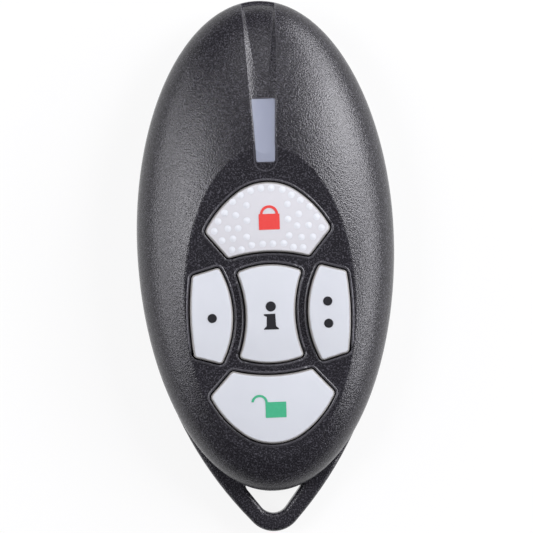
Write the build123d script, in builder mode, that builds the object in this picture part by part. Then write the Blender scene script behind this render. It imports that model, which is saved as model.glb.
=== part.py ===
"""A pocket alarm key fob: domed casing, five silicone keys, circuit board, coin cell and key ring loop.

Units are millimetres. X runs across the fob, +Y points to the light window's end and +Z out of the keypad.
The origin is under the middle of the fob, on the flat back.
"""

import math
import os

from build123d import *

# Overall sizes
overall_length = 78.5
casing_half_width = 19.0
head_length = 35.4
loop_reach = 6.1
dome_rise = 9.0
cut_overrun = 5.0

# Heights of the stack
rear_floor = 1.5
cell_gap_below = 0.4
board_height = 5.4
board_thickness = 1.0
parting_height = 5.0
band_height = 1.0
mat_thickness = 0.8
web_height = 1.2
key_travel = 0.8

# Casing walls
casing_wall = 1.8
floor_wall = 1.6
rear_inset = 0.15
rear_edge_radius = 3.0
lip_thickness = 0.8
lip_height = 1.2
lip_gap = 0.1
mouth_draw_in = 0.05
mouth_rise = 0.3

# Key ring loop
loop_bottom = 1.2
loop_thickness = 3.0
loop_edge_radius = 0.7
loop_root = 13.9
loop_root_cover = 11.85
loop_root_radius = 1.2
loop_heel = 12.0
loop_heel_cover = 15.5
loop_waist = 9.81
loop_waist_share = 0.56
loop_tip_half = 3.4
loop_tip_rise = 1.65
loop_hole_half = 5.3
loop_hole_cover = 2.1
loop_corner_radius = 1.2
loop_apex_rise = 1.18
loop_apex_radius = 2.3

# Keypad: the scoop's rim, the keys and their holes
keypad_margin = 7.25
keypad_window_gap = 2.95
keypad_end_margin = 7.2
rim_margin = 0.75
rim_end_margin = 2.35
rim_edge_radius = 0.8
key_gap = 0.35
key_proud = 0.75
key_crown_radius = 90.0
key_edge_radius = 0.35
hole_edge_radius = 0.22

# Corners and signs of the keys
long_corner_radius = 0.8
short_corner_radius = 0.6

# Web skirts, pills and mat
web_spread = 0.6
web_wall = 0.3
mat_hole_gap = 0.2
mat_margin = 2.05
mat_end_margin = 2.1
mat_rib_wall = 0.8
mat_rib_inset = 0.2
mat_rib_gap = 0.05
pill_radius = 1.5
pill_thickness = 0.4
boss_radius = 1.7
stroke_gap = 0.02
pad_radius = 1.8
pad_slot = 0.3
pad_thickness = 0.1

# Light window and crest groove
window_head_margin = 14.75
window_length = 9.25
window_top_half = 1.75
window_bottom_half = 1.35
window_corner = 0.25
window_gap = 0.05
window_sink = 0.12
window_flange = 0.8
window_flange_thickness = 0.7
window_flange_drop = 0.5
window_foot_gap = 0.3
groove_profile_share = 0.22
groove_tilt_share = 0.052
groove_stop = 0.6
groove_depth = 0.45
toe_overlap = 2.75
toe_below_window = 1.25
toe_half = 1.65
toe_depth = 0.15

# Screws and bosses
screw_head_margin = 7.75
screw_tail_margin = 3.95
screw_boss_radius = 1.9
screw_boss_gap = 0.15
screw_head_radius = 1.75
screw_head_thickness = 1.2
screw_head_gap = 0.25
screw_recess_depth = 1.7
recess_wall = 0.8
screw_shank_radius = 0.95
screw_shank_gap = 0.02
screw_hole_radius = 1.15
screw_length = 6.3
screw_tip_gap = 0.25
screw_cross_width = 0.45
screw_cross_length = 2.0
screw_cross_depth = 0.6

# Circuit board, its posts and its parts
board_gap = 0.3
post_radius = 1.1
post_edge_gap = 0.3
post_pitch = 17.0
post_below_belly = 0.85
post_root = 0.5
status_led_length = 3.2
status_led_width = 1.6
status_led_height = 0.9
backlight_length = 1.6
backlight_width = 0.8
backlight_height = 0.6
backlight_spread = 4.2
part_gap = 1.5
controller_side = 5.0
controller_height = 0.9
radio_side = 4.0
radio_height = 0.8
radio_place = 7.5
crystal_length = 3.2
crystal_width = 2.5
crystal_height = 0.8
crystal_place = 7.0
chip_length = 1.6
chip_width = 0.8
chip_height = 0.5
chip_pitch = 2.4
chip_row_pitch = 1.6
chip_columns = 3
chip_rows = 2
chip_edge_gap = 3.7
antenna_inset = 1.2
antenna_width = 0.6
antenna_height = 1.0
antenna_above_belly = 12.15
sounder_radius = 4.2
sounder_height = 1.8
sounder_port_radius = 0.7
sounder_port_depth = 0.5

# Coin cell, its holder and its contacts
cell_radius = 10.0
cell_height = 3.2
cell_above_belly = 4.15
can_wall = 0.25
can_edge_radius = 0.5
gasket_wall = 0.35
cap_step = 0.25
cap_edge_radius = 0.15
holder_gap = 0.15
holder_wall = 1.2
holder_lift = 0.35
clip_thickness = 0.28
clip_width = 4.0
clip_gap = 0.2
clip_slot_gap = 0.15
leaf_thickness = 0.15
leaf_half = 3.5
leaf_foot = 0.9
leaf_width = 2.5
leaf_gap = 0.02

# Worked-out places
belly_y = overall_length / 2 - head_length
casing_end = loop_reach - overall_length / 2
tail_length = belly_y - casing_end
loop_tip = -overall_length / 2
loop_root_y = casing_end + loop_root_cover
loop_waist_y = loop_tip + loop_waist_share * (loop_root_y - loop_tip)
dome_base = parting_height + band_height
board_top = board_height + board_thickness
mat_top = board_top + mat_thickness
key_base = mat_top + web_height
keypad_half_width = casing_half_width - keypad_margin
window_top = belly_y + head_length - window_head_margin
window_bottom = window_top - window_length
keypad_top = window_bottom - keypad_window_gap
keypad_bottom = casing_end + keypad_end_margin
keypad_half_length = (keypad_top - keypad_bottom) / 2
keypad_y = (keypad_top + keypad_bottom) / 2
mould_top = dome_base + dome_rise + cut_overrun
mouth_inset = casing_wall + mouth_draw_in
mouth_depth = band_height + mouth_rise
rear_wall = mouth_inset + lip_gap + lip_thickness
board_inset = rear_wall + board_gap
screw_places = [
    (0, belly_y + head_length - screw_head_margin),
    (0, casing_end + screw_tail_margin),
]
window_foot = board_top + status_led_height + window_foot_gap
window_middle = (window_top + window_bottom) / 2
toe_top = window_bottom + toe_overlap
toe_bottom = window_bottom - toe_below_window
window_flange_gap = casing_wall + window_flange_drop
cell_y = belly_y + cell_above_belly
cell_bottom = rear_floor + cell_gap_below
cell_top = cell_bottom + cell_height
holder_radius = cell_radius + holder_gap + holder_wall
clip_reach = cell_radius + clip_gap
pad_top = board_top + pad_thickness
pill_bottom = pad_top + key_travel + stroke_gap
pill_top = pill_bottom + pill_thickness
controller_y = cell_y - holder_radius - part_gap - controller_side / 2
chip_y = controller_y - controller_side / 2 - part_gap
sounder_y = chip_y - part_gap - sounder_radius


def dome_height(x, y):
    """Height of the casing's outer dome over a point."""
    length = head_length if y > belly_y else tail_length
    across = x / casing_half_width
    along = (y - belly_y) / length
    return dome_base + dome_rise * math.sqrt(1 - across**2 - along**2)


rim_side = keypad_half_width + rim_margin
rim_end = keypad_bottom - rim_end_margin
rim_side_height = dome_height(rim_side, keypad_y)
rim_end_height = dome_height(0, rim_end)
floor_slope = (rim_side_height - rim_end_height) / (keypad_y - rim_end)


def floor_height(y):
    """Height of the keypad floor's plane at a place along the fob."""
    return rim_side_height + floor_slope * (y - keypad_y)


def floor_plane(lift):
    """The tilted plane of the keypad floor, lifted square to itself."""
    plane = Plane(origin=(0, keypad_y, floor_height(keypad_y)), x_dir=(1, 0, 0), z_dir=(0, -floor_slope, 1))
    return plane.offset(lift)


def casing_outline(inset):
    """The casing's egg outline, drawn in from its edge: two half ellipses."""
    half_width = casing_half_width - inset
    with BuildSketch(mode=Mode.PRIVATE) as outline:
        with BuildLine():
            EllipticalCenterArc((0, belly_y), half_width, head_length - inset, start_angle=0, arc_size=180)
            EllipticalCenterArc((0, belly_y), half_width, tail_length - inset, start_angle=180, arc_size=180)
        make_face()
    return outline.sketch


def egg_body(inset):
    """The egg that the casing is cut from, drawn in from its surface: two half ellipsoids."""
    with BuildPart(mode=Mode.PRIVATE) as body:
        for length, turn in ((head_length, 0), (tail_length, 180)):
            half = Sphere(1, -90, 90, 180, rotation=(0, 0, turn), align=None, mode=Mode.PRIVATE)
            radii = (casing_half_width - inset, length - inset, dome_rise - inset)
            add(scale(half, by=radii, about=(0, 0, 0), mode=Mode.PRIVATE))
    return Pos(0, belly_y, dome_base) * body.part


def keypad_points(*shares):
    """Turns shares of the keypad's half width and half length into points."""
    return [(across * keypad_half_width, keypad_y + along * keypad_half_length) for across, along in shares]


def end_key_outline(end, side_shares, corner_shares, crown_share):
    """A fan-shaped key at the keypad's upper or lower end."""
    shoulder_shares = (0.37, 0.928)
    right = [(across, end * along) for across, along in (shoulder_shares, side_shares, corner_shares)]
    left = [(-across, along) for across, along in right]
    apex, crown = keypad_points((0, end), (0, end * crown_share))
    with BuildSketch(mode=Mode.PRIVATE) as outline:
        with BuildLine():
            shoulder, side, corner = keypad_points(*right)
            other_shoulder, other_side, other_corner = keypad_points(*left)
            cap = ThreePointArc(other_shoulder, apex, shoulder)
            TangentArc(shoulder, side, tangent=cap % 1)
            Line(side, corner)
            ThreePointArc(corner, crown, other_corner)
            Line(other_corner, other_side)
            TangentArc(other_shoulder, other_side, tangent=-(cap % 0))
        make_face()
        sides = outline.vertices().group_by(Axis.X)
        fillet(sides[0] + sides[-1], radius=long_corner_radius)
        corners = outline.vertices().filter_by(
            lambda v: abs(abs(v.X) - abs(corner[0])) < short_corner_radius / 2
            and abs(v.Y - corner[1]) < short_corner_radius / 2
        )
        fillet(corners, radius=short_corner_radius)
    return outline.sketch


def middle_key_outline():
    """The hourglass key in the middle."""
    top_right, bottom_right = keypad_points((0.41, 0.318), (0.41, -0.335))
    top_left, bottom_left = keypad_points((-0.41, 0.318), (-0.41, -0.335))
    right_waist, left_waist = keypad_points((0.307, -0.008), (-0.307, -0.008))
    top_crown, bottom_crown = keypad_points((0, 0.3725), (0, -0.383))
    with BuildSketch(mode=Mode.PRIVATE) as outline:
        with BuildLine():
            ThreePointArc(top_left, top_crown, top_right)
            ThreePointArc(top_right, right_waist, bottom_right)
            ThreePointArc(bottom_right, bottom_crown, bottom_left)
            ThreePointArc(bottom_left, left_waist, top_left)
        make_face()
        fillet(outline.vertices(), radius=short_corner_radius)
    return outline.sketch


def side_key_outline(side):
    """A key at the keypad's left or right edge; the side is -1 or 1."""
    inner_top, inner_middle, inner_bottom = keypad_points(
        (side * 0.625, 0.362), (side * 0.468, -0.008), (side * 0.625, -0.38)
    )
    outer_top, outer_middle, outer_bottom = keypad_points(
        (side * 0.962, 0.305), (side, -0.008), (side * 0.962, -0.32)
    )
    with BuildSketch(mode=Mode.PRIVATE) as outline:
        with BuildLine():
            ThreePointArc(inner_top, inner_middle, inner_bottom)
            Line(inner_bottom, outer_bottom)
            ThreePointArc(outer_bottom, outer_middle, outer_top)
            Line(outer_top, inner_top)
        make_face()
        fillet(outline.vertices(), radius=short_corner_radius)
    return outline.sketch


key_outlines = {
    "lock": end_key_outline(1, (0.787, 0.634), (0.506, 0.425), 0.469),
    "unlock": end_key_outline(-1, (0.783, 0.6235), (0.498, 0.4327), 0.4745),
    "info": middle_key_outline(),
    "one_dot": side_key_outline(-1),
    "two_dots": side_key_outline(1),
}
key_centres = {name: outline.face().center() for name, outline in key_outlines.items()}


def grown(outline, amount):
    """An outline moved outwards by an amount."""
    with BuildSketch(mode=Mode.PRIVATE) as larger:
        add(outline)
        offset(amount=amount)
    return larger.sketch


def window_outline(margin):
    """The light window's tapered outline, moved outwards by a margin."""
    with BuildSketch(mode=Mode.PRIVATE) as outline:
        with BuildLine():
            Polyline(
                (-window_top_half, window_top),
                (window_top_half, window_top),
                (window_bottom_half, window_bottom),
                (-window_bottom_half, window_bottom),
                close=True,
            )
        make_face()
        fillet(outline.vertices(), radius=window_corner)
        if margin > 0:
            offset(amount=margin)
    return outline.sketch


def mat_outline(inset):
    """The oval outline of the keypad mat, drawn in from its edge."""
    half_width = keypad_half_width + mat_margin - inset
    half_length = keypad_half_length + mat_end_margin - inset
    with BuildSketch(mode=Mode.PRIVATE) as outline:
        with Locations((0, keypad_y)):
            Ellipse(half_width, half_length)
    return outline.sketch


def above_floor(lift):
    """Everything above the keypad floor's plane, lifted square to itself."""
    with BuildPart(mode=Mode.PRIVATE) as block:
        with BuildSketch(floor_plane(lift)):
            Rectangle(4 * casing_half_width, 2 * overall_length)
        extrude(amount=dome_rise + cut_overrun)
    return block.part


def upper_floor(builder):
    """The keypad floor's face on a part that is being built."""
    upwards = Axis(origin=(0, 0, 0), direction=floor_plane(0).z_dir)
    return builder.faces().filter_by(floor_plane(0)).sort_by(upwards)[-1]


def groove_tool():
    """A ring that follows the dome's crest over its head and cuts a shallow channel along it."""
    with BuildPart(mode=Mode.PRIVATE) as tool:
        add(Torus(1 + groove_profile_share, groove_profile_share, rotation=(0, 90, 0), mode=Mode.PRIVATE))
    radii = (casing_half_width, head_length, dome_rise)
    ring = scale(Pos(0, -groove_tilt_share, 0) * tool.part, by=radii, about=(0, 0, 0), mode=Mode.PRIVATE)
    with BuildPart(mode=Mode.PRIVATE) as channel:
        add(Pos(0, belly_y, dome_base) * ring)
        with BuildSketch(Plane.XY.offset(dome_base + groove_stop)):
            with Locations((0, belly_y + head_length)):
                Rectangle(2 * casing_half_width, 2 * head_length)
        extrude(amount=2 * dome_rise, mode=Mode.INTERSECT)
        add(egg_body(groove_depth), mode=Mode.SUBTRACT)
    return channel.part


def toe_outline():
    """The rounded lower end of the groove, round the foot of the light window, seen from the keypad's middle."""
    top = toe_top - keypad_y
    bottom = toe_bottom - keypad_y
    with BuildSketch(mode=Mode.PRIVATE) as outline:
        with BuildLine():
            ThreePointArc((toe_half, bottom + toe_half), (0, bottom), (-toe_half, bottom + toe_half))
            Line((-toe_half, bottom + toe_half), (-toe_half, top))
            Line((-toe_half, top), (toe_half, top))
            Line((toe_half, top), (toe_half, bottom + toe_half))
        make_face()
    return outline.sketch


def loop_outline():
    """The V-shaped plate of the key ring loop, from under the casing to its round tip."""
    heel = (loop_heel, casing_end + loop_heel_cover)
    shoulder = (loop_root, loop_root_y)
    waist = (loop_waist, loop_waist_y)
    tip = (loop_tip_half, loop_tip + loop_tip_rise)
    with BuildSketch(mode=Mode.PRIVATE) as outline:
        with BuildLine():
            flank = ThreePointArc(shoulder, waist, tip)
            ThreePointArc(tip, (0, loop_tip), (-loop_tip_half, loop_tip + loop_tip_rise))
            mirror(flank, about=Plane.YZ)
            Polyline((-loop_root, loop_root_y), (-loop_heel, casing_end + loop_heel_cover), heel, shoulder)
        make_face()
        shoulders = outline.vertices().filter_by(lambda v: abs(v.Y - loop_root_y) < loop_root_radius / 2)
        fillet(shoulders, radius=loop_root_radius)
    return outline.sketch


def loop_hole_outline():
    """The loop's triangular hole; its upper end runs under the casing."""
    with BuildSketch(mode=Mode.PRIVATE) as outline:
        with BuildLine():
            Polyline(
                (-loop_hole_half, casing_end + loop_hole_cover),
                (loop_hole_half, casing_end + loop_hole_cover),
                (0, loop_tip + loop_apex_rise),
                close=True,
            )
        make_face()
        fillet(outline.vertices().group_by(Axis.Y)[-1], radius=loop_corner_radius)
        fillet(outline.vertices().sort_by(Axis.Y)[0], radius=loop_apex_radius)
    return outline.sketch


def board_half_width(y):
    """Half the circuit board's width at a place along the fob."""
    length = (head_length if y > belly_y else tail_length) - board_inset
    return (casing_half_width - board_inset) * math.sqrt(1 - ((y - belly_y) / length) ** 2)


def save(builder, name):
    """Labels a finished piece and writes it."""
    builder.part.label = name
    export_step(builder.part, f"parts/{name}.step")


os.makedirs("parts", exist_ok=True)

# Top cover: the egg above the parting line, its cavity, the keypad floor, the holes and the groove
with BuildPart() as casing_space:
    add(egg_body(casing_wall))
    with BuildSketch(Plane.XY.offset(parting_height - cut_overrun)):
        add(casing_outline(mouth_inset))
    extrude(amount=cut_overrun + mouth_depth)
    add(above_floor(-floor_wall), mode=Mode.SUBTRACT)
    with BuildSketch(Plane.XY.offset(mat_top + mat_rib_gap)):
        add(mat_outline(mat_rib_inset))
        add(mat_outline(mat_rib_inset + mat_rib_wall), mode=Mode.SUBTRACT)
    extrude(amount=mould_top - mat_top, mode=Mode.SUBTRACT)
    with BuildSketch(Plane.XY.offset(parting_height)):
        with Locations(*screw_places):
            Circle(screw_boss_radius)
    extrude(amount=mould_top, mode=Mode.SUBTRACT)

with BuildPart() as top_cover:
    add(egg_body(0))
    split(bisect_by=Plane.XY.offset(parting_height), keep=Keep.TOP)
    add(groove_tool(), mode=Mode.SUBTRACT)
    add(above_floor(0), mode=Mode.SUBTRACT)
    fillet(upper_floor(top_cover).edges(), radius=rim_edge_radius)
    with BuildSketch(Plane.XY.offset(key_base)):
        for outline in key_outlines.values():
            add(grown(outline, key_gap))
    extrude(amount=mould_top, mode=Mode.SUBTRACT)
    for hole in upper_floor(top_cover).inner_wires():
        fillet(hole.edges(), radius=hole_edge_radius)
    with BuildSketch(floor_plane(-toe_depth)):
        add(toe_outline())
    extrude(amount=dome_rise, mode=Mode.SUBTRACT)
    add(casing_space.part, mode=Mode.SUBTRACT)
    with BuildSketch(Plane.XY.offset(key_base)):
        add(window_outline(window_gap))
    extrude(amount=mould_top, mode=Mode.SUBTRACT)
    with BuildSketch(Plane.XY.offset(parting_height)):
        with Locations(*screw_places):
            Circle(screw_shank_radius + screw_shank_gap)
    extrude(amount=screw_recess_depth + screw_length + screw_tip_gap - parting_height, mode=Mode.SUBTRACT)
save(top_cover, "top_cover")

# Light window: a tapered light guide with a flange under the dome
with BuildPart() as light_window:
    with BuildSketch(Plane.XY.offset(window_foot)):
        add(window_outline(0))
    extrude(amount=mould_top)
    add(Pos(0, 0, -window_sink) * egg_body(0), mode=Mode.INTERSECT)
    add(Pos(0, 0, -window_sink) * groove_tool(), mode=Mode.SUBTRACT)
    add(above_floor(-window_sink), mode=Mode.SUBTRACT)
    flange_top = dome_height(0, window_top) - window_flange_gap
    with BuildSketch(Plane.XY.offset(flange_top - window_flange_thickness)):
        add(window_outline(window_flange))
    extrude(amount=window_flange_thickness)
save(light_window, "light_window")

# Rear cover: the shell under the parting line with the key ring loop, its lip, posts and bosses
with BuildPart() as loop_plate:
    with BuildSketch(Plane.XY.offset(loop_bottom)):
        add(loop_outline())
        add(loop_hole_outline(), mode=Mode.SUBTRACT)
    extrude(amount=loop_thickness)
    rims = loop_plate.edges().filter_by(Plane.XY)
    fillet(rims, radius=loop_edge_radius)

with BuildPart() as rear_cover:
    with BuildSketch():
        add(casing_outline(rear_inset))
    extrude(amount=parting_height)
    fillet(rear_cover.edges().group_by(Axis.Z)[0], radius=rear_edge_radius)
    add(loop_plate.part)
    with BuildSketch(Plane.XY.offset(loop_bottom)):
        add(casing_outline(mouth_inset + lip_gap))
    extrude(amount=parting_height + lip_height - loop_bottom)
    with BuildSketch(Plane.XY.offset(rear_floor)):
        add(casing_outline(rear_wall))
    extrude(amount=mould_top, mode=Mode.SUBTRACT)
    with BuildSketch(Plane.XY.offset(rear_floor - post_root)):
        with Locations(*screw_places):
            Circle(screw_head_radius + screw_head_gap + recess_wall)
    extrude(amount=parting_height - rear_floor + post_root)
    with BuildSketch(Plane.XY.offset(parting_height)):
        with Locations(*screw_places):
            Circle(screw_boss_radius + screw_boss_gap)
    extrude(amount=mould_top, mode=Mode.SUBTRACT)
    with BuildSketch(Plane.XY.offset(rear_floor - post_root)):
        for step in (-1, 0, 1):
            post_y = belly_y - post_below_belly + step * post_pitch
            post_x = board_half_width(post_y) - post_edge_gap - post_radius
            with Locations((post_x, post_y), (-post_x, post_y)):
                Circle(post_radius)
    extrude(amount=board_height - rear_floor + post_root)
    with Locations(*[Plane(origin=(x, y, 0), z_dir=(0, 0, -1)) for x, y in screw_places]):
        CounterBoreHole(screw_hole_radius, screw_head_radius + screw_head_gap, screw_recess_depth)
save(rear_cover, "rear_cover")

# Keypad mat: the silicone sheet on the board, open under each key
with BuildPart() as keypad_mat:
    with BuildSketch(Plane.XY.offset(board_top)):
        add(mat_outline(0))
        for outline in key_outlines.values():
            add(grown(outline, mat_hole_gap), mode=Mode.SUBTRACT)
        with Locations(*screw_places):
            Circle(screw_boss_radius + screw_boss_gap, mode=Mode.SUBTRACT)
    extrude(amount=mat_thickness)
save(keypad_mat, "keypad_mat")

# Keys, each with its web skirt and its contact pill
for name, outline in key_outlines.items():
    centre = key_centres[name]
    crown = floor_plane(key_proud).origin + Vector(0, centre.Y - keypad_y, floor_slope * (centre.Y - keypad_y))
    crown_centre = Vector(centre.X, crown.Y, crown.Z) - floor_plane(0).z_dir * key_crown_radius
    with BuildPart() as key:
        with BuildSketch(Plane.XY.offset(key_base)):
            add(outline)
        extrude(amount=mould_top - key_base)
        with Locations(crown_centre):
            Sphere(key_crown_radius, mode=Mode.INTERSECT)
        fillet(key.faces().sort_by(Axis.Z)[-1].edges(), radius=key_edge_radius)
        with BuildSketch(Plane.XY.offset(pill_top)):
            with Locations((centre.X, centre.Y)):
                Circle(boss_radius)
        extrude(amount=key_base - pill_top)
    save(key, f"key_{name}")

    with BuildPart() as web:
        with BuildSketch(Plane.XY.offset(mat_top)):
            add(grown(outline, web_spread))
        with BuildSketch(Plane.XY.offset(key_base)):
            add(outline)
        loft(ruled=True)
        with BuildSketch(Plane.XY.offset(mat_top)):
            add(grown(outline, web_spread - web_wall))
        with BuildSketch(Plane.XY.offset(key_base)):
            add(grown(outline, -web_wall))
        loft(ruled=True, mode=Mode.SUBTRACT)
    save(web, f"web_{name}")

    with BuildPart() as pill:
        with BuildSketch(Plane.XY.offset(pill_bottom)):
            with Locations((centre.X, centre.Y)):
                Circle(pill_radius)
        extrude(amount=pill_thickness)
    save(pill, f"pill_{name}")

# Circuit board and what is soldered to its upper side
with BuildPart() as circuit_board:
    with BuildSketch(Plane.XY.offset(board_height)):
        add(casing_outline(board_inset))
        with Locations(*screw_places):
            Circle(screw_boss_radius + screw_boss_gap, mode=Mode.SUBTRACT)
    extrude(amount=board_thickness)
save(circuit_board, "circuit_board")

pill_places = [(centre.X, centre.Y) for centre in key_centres.values()]
with BuildPart() as contact_pads:
    with BuildSketch(Plane.XY.offset(board_top)):
        with Locations(*pill_places):
            Circle(pad_radius)
            Rectangle(pad_slot, 3 * pad_radius, mode=Mode.SUBTRACT)
    extrude(amount=pad_thickness)
save(contact_pads, "contact_pads")

with BuildPart() as status_led:
    with BuildSketch(Plane.XY.offset(board_top)):
        with Locations((0, window_middle)):
            Rectangle(status_led_width, status_led_length)
    extrude(amount=status_led_height)
save(status_led, "status_led")

with BuildPart() as backlight_leds:
    with BuildSketch(Plane.XY.offset(board_top)):
        for name in ("lock", "unlock"):
            with Locations((-backlight_spread, key_centres[name].Y), (backlight_spread, key_centres[name].Y)):
                Rectangle(backlight_width, backlight_length)
    extrude(amount=backlight_height)
save(backlight_leds, "backlight_leds")

with BuildPart() as antenna_strip:
    with BuildSketch(Plane.XY.offset(board_top)):
        add(casing_outline(board_inset + antenna_inset))
        add(casing_outline(board_inset + antenna_inset + antenna_width), mode=Mode.SUBTRACT)
        split(bisect_by=Plane.XZ.offset(-belly_y - antenna_above_belly), keep=Keep.BOTTOM)
    extrude(amount=antenna_height)
save(antenna_strip, "antenna_strip")

# Soldered to the lower side of the board
under_board = Plane(origin=(0, 0, board_height), x_dir=(1, 0, 0), z_dir=(0, 0, -1))
chips = {
    "controller_chip": (0, controller_y, controller_side, controller_side, controller_height),
    "radio_chip": (-radio_place, controller_y, radio_side, radio_side, radio_height),
    "crystal": (crystal_place, controller_y, crystal_width, crystal_length, crystal_height),
}
for name, (x, y, width, length, height) in chips.items():
    with BuildPart() as chip:
        with BuildSketch(under_board):
            with Locations((x, -y)):
                Rectangle(width, length)
        extrude(amount=height)
    save(chip, name)

chip_x = board_half_width(chip_y) - chip_edge_gap - chip_length / 2 - (chip_columns - 1) * chip_pitch / 2
for name, side in (("chip_resistors", -1), ("chip_capacitors", 1)):
    with BuildPart() as chip_group:
        with BuildSketch(under_board):
            with Locations((side * chip_x, -chip_y)):
                with GridLocations(chip_pitch, chip_row_pitch, chip_columns, chip_rows):
                    Rectangle(chip_length, chip_width)
        extrude(amount=chip_height)
    save(chip_group, name)

with BuildPart() as sounder:
    with BuildSketch(under_board):
        with Locations((0, -sounder_y)):
            Circle(sounder_radius)
    extrude(amount=sounder_height)
    with BuildSketch(under_board.offset(sounder_height)):
        with Locations((0, -sounder_y)):
            Circle(sounder_port_radius)
    extrude(amount=-sounder_port_depth, mode=Mode.SUBTRACT)
save(sounder, "sounder")

# Coin cell: can, gasket and cap, with the cap towards the board
with BuildPart() as cell_can:
    with BuildSketch(Plane.XY.offset(cell_bottom)):
        with Locations((0, cell_y)):
            Circle(cell_radius)
    extrude(amount=cell_height - cap_step)
    fillet(cell_can.edges().group_by(Axis.Z)[0], radius=can_edge_radius)
    with BuildSketch(Plane.XY.offset(cell_bottom + can_wall)):
        with Locations((0, cell_y)):
            Circle(cell_radius - can_wall)
    extrude(amount=cell_height, mode=Mode.SUBTRACT)
save(cell_can, "cell_can")

with BuildPart() as cell_gasket:
    with BuildSketch(Plane.XY.offset(cell_bottom + can_wall)):
        with Locations((0, cell_y)):
            Circle(cell_radius - can_wall)
            Circle(cell_radius - can_wall - gasket_wall, mode=Mode.SUBTRACT)
    extrude(amount=cell_height - cap_step - can_wall)
save(cell_gasket, "cell_gasket")

with BuildPart() as cell_cap:
    with BuildSketch(Plane.XY.offset(cell_bottom + can_wall)):
        with Locations((0, cell_y)):
            Circle(cell_radius - can_wall - gasket_wall)
    extrude(amount=cell_height - can_wall)
    fillet(cell_cap.edges().group_by(Axis.Z)[-1], radius=cap_edge_radius)
save(cell_cap, "cell_cap")

# Cell holder on the board, the clip across the can and the leaf on the cap
with BuildPart() as battery_holder:
    with BuildSketch(Plane.XY.offset(cell_bottom + holder_lift)):
        with Locations((0, cell_y)):
            Circle(holder_radius)
            Circle(cell_radius + holder_gap, mode=Mode.SUBTRACT)
            Rectangle(
                2 * (clip_reach + clip_thickness + clip_slot_gap),
                clip_width + 2 * clip_slot_gap,
                mode=Mode.SUBTRACT,
            )
    extrude(amount=board_height - cell_bottom - holder_lift)
save(battery_holder, "battery_holder")

with BuildPart() as positive_clip:
    with BuildSketch(Plane.XZ.offset(-cell_y)):
        with BuildLine():
            strap = Polyline(
                (-clip_reach, board_height),
                (-clip_reach, cell_bottom),
                (clip_reach, cell_bottom),
                (clip_reach, board_height),
            )
            offset(strap, amount=clip_thickness, side=Side.RIGHT)
        make_face()
    extrude(amount=clip_width / 2, both=True)
save(positive_clip, "positive_clip")

with BuildPart() as negative_leaf:
    leaf_low = cell_top + leaf_gap
    with BuildSketch(Plane.XZ.offset(-cell_y)):
        with BuildLine():
            ThreePointArc((-leaf_half, board_height), (0, leaf_low), (leaf_half, board_height))
            Line((leaf_half, board_height), (leaf_half - leaf_foot, board_height))
            ThreePointArc(
                (leaf_half - leaf_foot, board_height),
                (0, leaf_low + leaf_thickness),
                (leaf_foot - leaf_half, board_height),
            )
            Line((leaf_foot - leaf_half, board_height), (-leaf_half, board_height))
        make_face()
    extrude(amount=leaf_width / 2, both=True)
save(negative_leaf, "negative_leaf")

# Case screws, their heads sunk in the back
with BuildPart() as case_screws:
    with BuildSketch(Plane.XY.offset(screw_recess_depth - screw_head_thickness)):
        with Locations(*screw_places):
            Circle(screw_head_radius)
    extrude(amount=screw_head_thickness)
    with BuildSketch(Plane.XY.offset(screw_recess_depth)):
        with Locations(*screw_places):
            Circle(screw_shank_radius)
    extrude(amount=screw_length)
    with BuildSketch(Plane.XY.offset(screw_recess_depth - screw_head_thickness)):
        with Locations(*screw_places):
            Rectangle(screw_cross_length, screw_cross_width)
            Rectangle(screw_cross_width, screw_cross_length)
    extrude(amount=screw_cross_depth, mode=Mode.SUBTRACT)
save(case_screws, "case_screws")
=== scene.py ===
"""Dresses a pocket alarm key fob: textured black casing, milky keys with their signs, and a studio.

Names that end in _mm are in millimetres, and so are outlines and the places of signs, bumps and lips.
They are turned to metres where a mesh or a node takes them. Other lengths are in metres, and angles are
in degrees.
"""

import logging
import math
from dataclasses import dataclass, field
from enum import Enum

import bmesh
import bpy
from mathutils import Matrix, Vector
from mathutils.bvhtree import BVHTree
from mathutils.geometry import tessellate_polygon


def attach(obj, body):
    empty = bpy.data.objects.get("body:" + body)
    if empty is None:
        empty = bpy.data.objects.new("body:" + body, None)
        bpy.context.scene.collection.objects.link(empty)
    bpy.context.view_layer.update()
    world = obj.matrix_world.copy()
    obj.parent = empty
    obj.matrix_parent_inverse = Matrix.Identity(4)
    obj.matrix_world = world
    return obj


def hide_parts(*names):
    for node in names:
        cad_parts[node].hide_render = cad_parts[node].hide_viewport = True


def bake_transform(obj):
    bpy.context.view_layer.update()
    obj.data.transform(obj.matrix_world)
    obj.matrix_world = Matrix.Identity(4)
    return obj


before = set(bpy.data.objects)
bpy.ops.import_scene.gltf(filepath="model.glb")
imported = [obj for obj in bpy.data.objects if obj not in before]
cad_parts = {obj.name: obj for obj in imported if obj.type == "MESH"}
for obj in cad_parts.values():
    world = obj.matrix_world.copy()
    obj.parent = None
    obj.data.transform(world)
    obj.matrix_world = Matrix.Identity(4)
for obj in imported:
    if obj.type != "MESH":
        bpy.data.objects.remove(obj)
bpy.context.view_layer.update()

MM = 0.001
KEYS = ("lock", "unlock", "info", "one_dot", "two_dots")
ABOVE = 0.05  # a height above the whole fob, from which rays look down
FLAT_WITHIN = 2e-6  # how far the corners of a flat face may be off its plane
SAME_WITHIN = 1e-6  # how near to each other two vertices count as one

# A mix node has sockets for each data type under the same names, so those for colours go by their numbers.
MIX_SHARE, MIX_FIRST, MIX_SECOND, MIX_RESULT = 0, 6, 7, 2

log = logging.getLogger("key_fob")

Point = tuple[float, float]
Outline = list[Point]


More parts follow.
